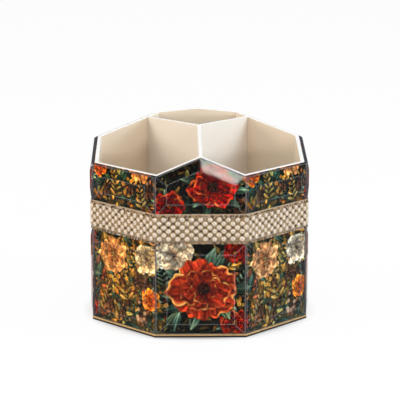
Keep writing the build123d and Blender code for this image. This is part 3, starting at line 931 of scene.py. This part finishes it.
def staggered(first):
    """Places in the six rows. Every other row, from the first or the second, has one place fewer."""
    return [place for row in range(PEARL_ROWS)
            for place in line(PEARLS_PER_SIDE - (row + first) % 2, PEARL_STEP, FIRST_ROW + row * ROW_STEP)]


pearl_places = staggered(0)
print("pearls on a side:", len(pearl_places), "radius", round(PEARL_RADIUS / MM, 2), "row step",
      round(ROW_STEP / MM, 2), "mm")


# %% [markdown]
# One pearl, collar or bead is modelled once, facing up. The copies are set on all eight sides by a matrix
# each, and joined into one mesh, because hundreds of separate objects would be slow to handle. A hand
# that sews is never exact: a random number with a fixed seed moves each a little, and makes it a little
# smaller.

# %% Repeats
hand = np.random.default_rng(5)
SMALLER = 0.12


def prototype(build):
    """Mesh of one small part, built at the origin and facing +Z."""
    mesh = bmesh.new()
    build(mesh)
    for face in mesh.faces:
        face.smooth = True
    data = bpy.data.meshes.new("prototype")
    mesh.to_mesh(data)
    mesh.free()
    return data


def scatter(small, matrices, tones=1):
    """bmesh with a copy of the small part at each matrix, each in one of the first few materials."""
    mesh = bmesh.new()
    for matrix in matrices:
        copy = small.copy()
        copy.transform(matrix)
        if tones > 1:
            copy.polygons.foreach_set("material_index", [int(hand.integers(tones))] * len(copy.polygons))
        mesh.from_mesh(copy)
        bpy.data.meshes.remove(copy)
    return mesh


def all_round(places, depth, spin=0.0, corner=False, loose=0.0):
    """Matrices that set +Z parts on each of the eight sides, at x and z along the side. Loose parts are
    set a little aside, and are up to an eighth smaller."""
    matrices = []
    for side in range(len(SIDE_NAMES)):
        angle = STEP_ROUND * (side + (0.5 if corner else 0))
        for x, z in places:
            x, z = x + hand.uniform(-loose, loose), z + hand.uniform(-loose, loose)
            size = 1 - (hand.uniform(0.0, SMALLER) if loose else 0)
            matrices.append(Matrix.Rotation(angle, 4, "Z") @ Matrix.Translation((x, -depth, z))
                            @ Matrix.Rotation(math.pi / 2, 4, "X") @ Matrix.Rotation(spin, 4, "Z")
                            @ Matrix.Scale(size, 4))
    return matrices


# %% [markdown]
# A half pearl is the upper half of a ball, a little flattened, with a dimple on top where the stitch goes
# through it. Its collar is a ring of wire: a small circle that is spun about the axis of the pearl. More
# pearls sit on the rounded corners of the ribbon, in every other row.

# %% Pearls and collars
CORNER_COSINE = math.cos(STEP_ROUND / 2)
CORNER_ROUND = 7 * MM
CORNER_DEPTH = RIBBON_FACE / CORNER_COSINE - CORNER_ROUND * (1 / CORNER_COSINE - 1)
SEWN_RADIUS, SEWN_DEPTH = 1.07 * PEARL_RADIUS, 0.97 * PEARL_RADIUS
DIMPLE = 0.3 * MM
WIRE_RADIUS, WIRE_HEIGHT = 0.34 * MM, 0.25 * MM


def everything(mesh):
    """All vertices, edges and faces, as the operators take them."""
    return mesh.verts[:] + mesh.edges[:] + mesh.faces[:]


def spun(mesh, steps):
    """Closes a shape by a full turn about the Z axis."""
    bmesh.ops.spin(mesh, geom=everything(mesh), cent=(0, 0, 0), axis=(0, 0, 1), dvec=(0, 0, 0),
                   angle=2 * math.pi, steps=steps, use_merge=True, use_duplicate=False)
    bmesh.ops.recalc_face_normals(mesh, faces=mesh.faces)


def half_pearl(mesh):
    bmesh.ops.create_uvsphere(mesh, u_segments=10, v_segments=10, radius=SEWN_RADIUS)
    cut = bmesh.ops.bisect_plane(mesh, geom=everything(mesh), plane_co=(0, 0, 0), plane_no=(0, 0, 1),
                                 clear_inner=True)
    bmesh.ops.contextual_create(mesh, geom=[e for e in cut["geom_cut"] if isinstance(e, bmesh.types.BMEdge)])
    pole = max(mesh.verts, key=lambda v: v.co.z)
    for face in pole.link_faces:
        face.material_index = 1
    pole.co.z -= DIMPLE
    bmesh.ops.scale(mesh, verts=mesh.verts, vec=(1, 1, SEWN_DEPTH / SEWN_RADIUS))


def collar(mesh):
    bmesh.ops.create_circle(mesh, segments=5, radius=WIRE_RADIUS, cap_ends=False)
    bmesh.ops.rotate(mesh, verts=mesh.verts, matrix=Matrix.Rotation(math.pi / 2, 3, "X"))
    bmesh.ops.translate(mesh, verts=mesh.verts, vec=(SEWN_RADIUS, 0, WIRE_HEIGHT))
    spun(mesh, 10)


corner_places = [(0, FIRST_ROW + row * ROW_STEP) for row in range(1, PEARL_ROWS, 2)]
sewn_at = all_round(pearl_places, RIBBON_FACE, loose=0.12 * MM)
sewn_at += all_round(corner_places, CORNER_DEPTH, corner=True)
pearls = piece("belt_half_pearls", scatter(prototype(half_pearl), sewn_at), "caddy", "pearl", PEARL, STITCH,
               replaced=["belt_pearls"])
collars = piece("belt_collars", scatter(prototype(collar), sewn_at), "caddy", "gold_mesh", THREAD_GOLD)
print("pearls:", len(sewn_at), "faces", len(pearls.data.polygons), "and", len(collars.data.polygons))

# %% [markdown]
# The mesh of the ribbon shows as gold threads that cross between the collars. Each is a thin rod from one
# row of pearls to the next, leaning left or right by turns. A bump in the ribbon's finish could draw
# them too, but they stand as high as the collars and show at the edges of the belt.

# %% Threads between the collars
THREAD_LONG = math.hypot(PEARL_STEP / 2, ROW_STEP)
THREAD_LEAN = math.atan2(ROW_STEP, PEARL_STEP / 2)
THREAD_RADIUS = 0.3 * MM


def thread(mesh):
    bmesh.ops.create_cone(mesh, segments=5, radius1=THREAD_RADIUS, radius2=THREAD_RADIUS, depth=THREAD_LONG,
                          cap_ends=True)
    bmesh.ops.rotate(mesh, verts=mesh.verts, matrix=Matrix.Rotation(math.pi / 2, 3, "Y"))
    bmesh.ops.translate(mesh, verts=mesh.verts, vec=(0, 0, THREAD_RADIUS))


thread_at = []
for first, lean in ((1, THREAD_LEAN), (0, -THREAD_LEAN)):
    middles = []
    for row in range(PEARL_ROWS - 1):
        between_rows = line(2 * PEARLS_PER_SIDE, PEARL_STEP / 2, FIRST_ROW + (row + 0.5) * ROW_STEP)
        middles += between_rows[(row + first) % 2::2]
    thread_at += all_round(middles, RIBBON_FACE, spin=lean)
piece("belt_threads", scatter(prototype(thread), thread_at), "caddy", "gold_mesh", THREAD_GOLD)
print("threads:", len(thread_at))

# %% [markdown]
# The ribbon itself is dark in the gaps between the pearls. Its weave is two crossing sets of waves, which
# run along the side and up it, because noise has no direction and a weave has two. The angle round the
# axis gives the place along the side.

# %% Woven ribbon
WEFTS_ROUND = 360.0
WARP_STEP = 1.1 * MM
WEAVE_DEPTH = 0.2 * MM

RIBBON, tree = new_tree("woven_ribbon")
point = add(tree, "ShaderNodeTexCoord").outputs["Object"]
axes = add(tree, "ShaderNodeSeparateXYZ", {"Vector": point}).outputs
turn = maths(tree, "ARCTAN2", axes["Y"], axes["X"])
weft = maths(tree, "SINE", maths(tree, "MULTIPLY", turn, WEFTS_ROUND))
warp = maths(tree, "SINE", maths(tree, "MULTIPLY", axes["Z"], 2 * math.pi / WARP_STEP))
cross = maths(tree, "MULTIPLY", weft, warp)
level = add(tree, "ShaderNodeMapRange", {"Value": cross, "From Min": -0.6, "From Max": 0.8})
# the Mix node has sockets for each kind of data: 6 and 7 take colours, and output 2 gives one
weave = add(tree, "ShaderNodeMix", {0: level.outputs["Result"], 6: srgb(40, 26, 18), 7: srgb(214, 190, 156)},
            data_type="RGBA")
look = grouped(tree, mottle, Colour=weave.outputs[2], Depth=0.5, Roughness=0.45, Spread=0.2, Size=300.0)
finish_with(tree, surface(tree, look, cross, 0.6, WEAVE_DEPTH, Metallic=0.4))


def wrapped_band(node):
    """Copy of a belt band that bends round the corners of the box instead of being folded there."""
    mesh = joined_copy(node)
    folds = [e for e in corners_of(mesh, 20)
             if abs(e.verts[0].co.z - e.verts[1].co.z) > MM and e.verts[0].co.xy.length > RIBBON_FACE]
    soften(mesh, folds, CORNER_ROUND * HALF_SLOPE, segments=4)
    return mesh


ribbon = piece("belt_woven_ribbon", wrapped_band("belt_ribbon"), "caddy", "gold_mesh", RIBBON,
               replaced=["belt_ribbon"])
print("ribbon faces:", len(ribbon.data.polygons))

# %% [markdown]
# Seed beads in gold and bronze fill most of the gaps between the pearls. The gap in a row lies midway
# between two pearls. Which bead goes where is left to chance, with a fixed seed, so the belt looks the
# same each time. There are hundreds, so each is the simplest ball that still looks round at its size.

# %% Seed beads in the gaps
SEED_RADIUS = 0.56 * MM
SEED_HEIGHT = 0.25 * MM
GAPS_FILLED = 0.85
SEED = finish("seed_bead", srgb(190, 160, 120), depth=1.1, roughness=0.25, spread=0.3, size=650.0, bump=0.1,
              Metallic=0.6)


def seed_bead(mesh):
    bmesh.ops.create_icosphere(mesh, subdivisions=1, radius=SEED_RADIUS)


gaps = all_round(staggered(1), RIBBON_FACE + SEED_HEIGHT, loose=0.2 * MM)
filled = [matrix for matrix in gaps if hand.uniform() < GAPS_FILLED]
piece("belt_gap_seeds", scatter(prototype(seed_bead), filled, tones=5), "caddy", "gold_mesh", SEED, BRONZE_AND_PAINTED_SHADE,
      BRONZE_AND_PAINTED_SHADE, THREAD_GOLD, BRONZE_AND_PAINTED_SHADE)
print("seed beads in the gaps:", len(filled), "of", len(gaps))

# %% [markdown]
# The two edges of the belt are bands of lace. Real lace is a net of thread, far too fine to model here,
# so a speckled finish with a strong bump stands for it, and rows of seed beads give it its relief.

# %% Lace bands
LACE_PITCH = 1.3 * MM
STRUNG_HEIGHT = 0.1 * MM
LACE = finish("speckled_lace", srgb(120, 94, 66), depth=1.8, roughness=0.4, spread=0.3, size=900.0, bump=1.0,
              bump_size=1400.0, Metallic=0.5)


def lace(node, name, rows):
    """Lace band with rows of seed beads along its face."""
    piece(name, wrapped_band(node), "caddy", "gold_lace", LACE, replaced=[node])
    low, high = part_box(node)
    width = 2 * LACE_FACE * HALF_SLOPE
    count = round(width / LACE_PITCH)
    places = []
    for row in range(rows):
        places += line(count - row % 2, width / count, low.z + (high.z - low.z) * (row + 0.5) / rows)
    beads_at = all_round(places, LACE_FACE + STRUNG_HEIGHT, loose=0.15 * MM)
    piece(name + "_beads", scatter(prototype(seed_bead), beads_at, tones=4), "caddy", "gold_lace", SEED,
          PEARL, BRONZE_AND_PAINTED_SHADE, THREAD_GOLD)
    print(name, "beads:", len(beads_at))


lace("belt_lace_top", "lace_upper", 2)
lace("belt_lace_bottom", "lace_lower", 1)

# %% [markdown]
# A pale cord closes the belt off at the top, over the lower edges of the upper tiles. It is a ring with
# eight corners. A curve with a round bevel could draw it, but it would cut across the corners. So a
# small upright rectangle is spun in eight steps about the axis, which lands on them, and then the
# corners and edges are rounded.

# %% Pale cord
CORD_BACK, CORD_PROUD = 2.3 * MM, 0.35 * MM
CORD_SUNK, CORD_RISE = 0.1 * MM, 0.65 * MM
PALE_CORD = finish("pale_cord", srgb(176, 152, 124), depth=1.0, roughness=0.4, spread=0.2, size=700.0,
                   bump=0.6, bump_size=2600.0, Metallic=0.3)


def cord(name, inner, outer, low, high, material):
    """Ring round the box, given by its distances from the axis and its heights."""
    mesh = bmesh.new()
    section = [mesh.verts.new((0, -reach / CORNER_COSINE, z))
               for reach, z in ((outer, low), (outer, high), (inner, high), (inner, low))]
    for n in range(4):
        mesh.edges.new((section[n - 1], section[n]))
    bmesh.ops.rotate(mesh, verts=mesh.verts, matrix=Matrix.Rotation(STEP_ROUND / 2, 3, "Z"))
    spun(mesh, len(SIDE_NAMES))
    middle = (inner + outer) / 2
    uprights = [e for e in mesh.edges if abs(e.verts[0].co.z - e.verts[1].co.z) > 0.1 * MM
                and e.verts[0].co.xy.length > middle / CORNER_COSINE]
    soften(mesh, uprights, CORNER_ROUND * HALF_SLOPE, segments=4)
    rims = [e for e in corners_of(mesh, 60) if sum(f.normal.xy.length for f in e.link_faces) > 0.9
            and e.verts[0].co.xy.length > middle]
    soften(mesh, rims, 0.45 * min(high - low, outer - inner))
    made = piece(name, mesh, "caddy", "gold_lace", material)
    print(name, "faces:", len(made.data.polygons))


lace_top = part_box("belt_lace_top")[1].z
cord("cord_upper", GLASS_BACK + CORD_BACK, LACE_FACE + CORD_PROUD, lace_top - CORD_SUNK, lace_top + CORD_RISE,
     PALE_CORD)


# %% [markdown]
# Trims. Beads of soft metal fill the wedge between neighbouring tiles, and a gold strip goes round the
# foot. Their CAD shapes are right but sharp, so they are copies with rounded edges, which is where such
# strips shine. The lower half of the foot strip is dark bronze: painted shade, for the shadow in the gap
# under the box.

# %% Corner beads and foot strip
SEAM_EDGE, STRIP_EDGE = 0.15 * MM, 0.3 * MM
PAINTED_SHADE_SHARE = 0.55


def trim(node, name, slot, width, material, below=None):
    """Softened copy of a trim. Its lower part can have a darker material of its own, which paints shade."""
    mesh = joined_copy(node)
    soften(mesh, corners_of(mesh, 20), width)
    if not below:
        return piece(name, mesh, "caddy", slot, material, replaced=[node])
    low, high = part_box(node)
    # the part under this height is painted shade
    painted_shade_top = low.z + (high.z - low.z) * PAINTED_SHADE_SHARE
    bmesh.ops.bisect_plane(mesh, geom=everything(mesh), plane_co=(0, 0, painted_shade_top), plane_no=(0, 0, 1))
    for face in mesh.faces:
        face.material_index = int(face.calc_center_median().z < painted_shade_top)
    return piece(name, mesh, "caddy", slot, material, below, replaced=[node])


trim("corner_beads_upper", "seams_upper", "lead_trim", SEAM_EDGE, LEAD)
trim("corner_beads_lower", "seams_lower", "lead_trim", SEAM_EDGE, LEAD)
# the lower part of the foot strip is painted shade, for the shadow in the gap under the box
trim("base_trim", "foot_strip", "gold_trim", STRIP_EDGE, OLD_GOLD, BRONZE_AND_PAINTED_SHADE)

# %% [markdown]
# The rest of the parts show only from below or when the box is taken apart: the felt in the pockets, the
# turntable with its races and balls, the base disc and its rubber feet. Their CAD shapes are right as
# they are, so they only get a finish.

# %% Parts that keep their CAD shape
CAD_FINISHES = {
    "floor_pad_left": FELT, "floor_pad_right": FELT, "floor_pad_rear": FELT, "floor_board": WHITE_EDGE,
    "upper_race": STEEL, "lower_race": STEEL, "upper_race_screws": SCREW, "lower_race_screws": SCREW,
    "spindle": SCREW, "spindle_washer": SCREW, "spindle_nut": SCREW, "ball_cage": NYLON, "pivot_bush": NYLON,
    "bearing_balls": BALL, "base_disc": BLACK_BASE, "rubber_feet": RUBBER}
for node, material in CAD_FINISHES.items():
    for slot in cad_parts[node].material_slots:
        slot.material = material
shown = [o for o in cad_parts.values() if not o.hide_render]
print("CAD parts still shown:", len(shown), "of them finished:", len(CAD_FINISHES))
